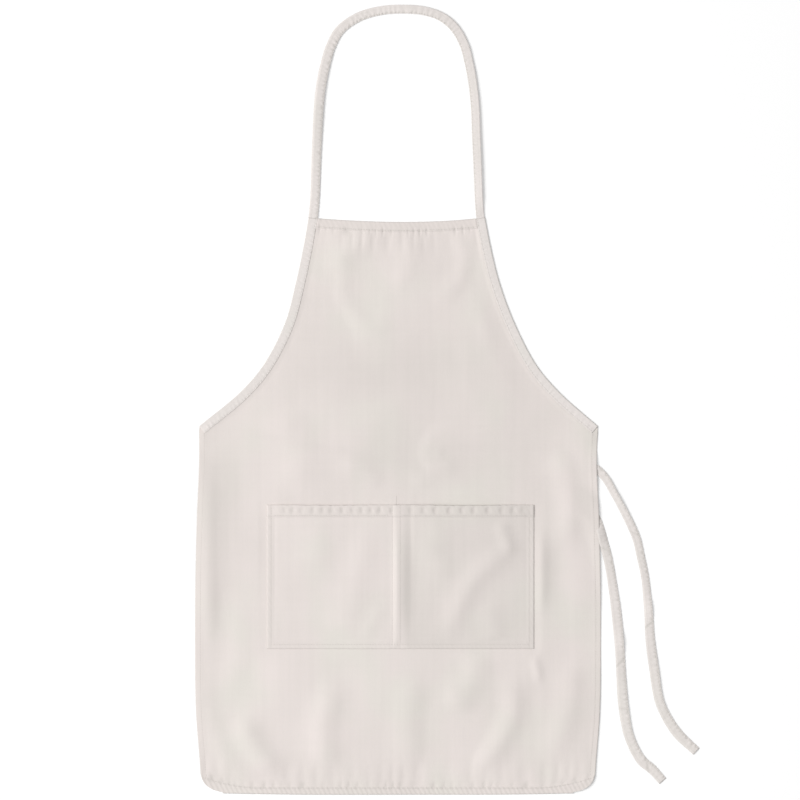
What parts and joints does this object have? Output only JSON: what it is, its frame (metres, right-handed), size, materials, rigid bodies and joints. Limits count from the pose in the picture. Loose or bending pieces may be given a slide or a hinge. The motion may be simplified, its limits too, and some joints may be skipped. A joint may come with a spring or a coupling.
{
  "type": "bib apron",
  "caption": "Natural cotton bib apron for art work, laid flat, with a bound neck loop, two long ties and a divided front pocket.",
  "frame": {"origin": "middle of the apron's laid length and width, ties left out, on the surface that it lies on", "axes": "+Y along the length towards the neck loop, +Z out of the front of the cloth, +X to the right as seen from the front"},
  "size_m": [0.6232, 0.9753, 0.0069],
  "materials": {
    "cotton_twill": "matt natural cotton twill",
    "binding_tape": "matt folded cotton tape",
    "sewing_thread": "matt spun thread"
  },
  "bodies": {
    "apron": {"body_panel": "cotton_twill", "pocket_panel": "cotton_twill", "binding_left": "binding_tape", "binding_right": "binding_tape", "tie_left": "binding_tape", "tie_right": "binding_tape", "bib_hem_stitching": "sewing_thread", "side_hem_stitching_left": "sewing_thread", "side_hem_stitching_right": "sewing_thread", "bottom_hem_stitching": "sewing_thread", "binding_stitching_left": "sewing_thread", "binding_stitching_right": "sewing_thread", "pocket_hem_stitching_left": "sewing_thread", "pocket_hem_stitching_right": "sewing_thread", "pocket_edge_stitching": "sewing_thread", "pocket_divider_stitching_left": "sewing_thread", "pocket_divider_stitching_right": "sewing_thread", "pocket_divider_tack": "sewing_thread"},
    "neck_loop": {"neck_strap": "binding_tape", "neck_strap_stitching": "sewing_thread"}
  },
  "joints": [
    {"name": "neck_loop_fold", "type": "hinge", "parent": "apron", "child": "neck_loop", "pos_m": [0, 0.2246, 0.003], "axis": [1, 0, 0], "range_deg": [0, 170]}
  ]
}
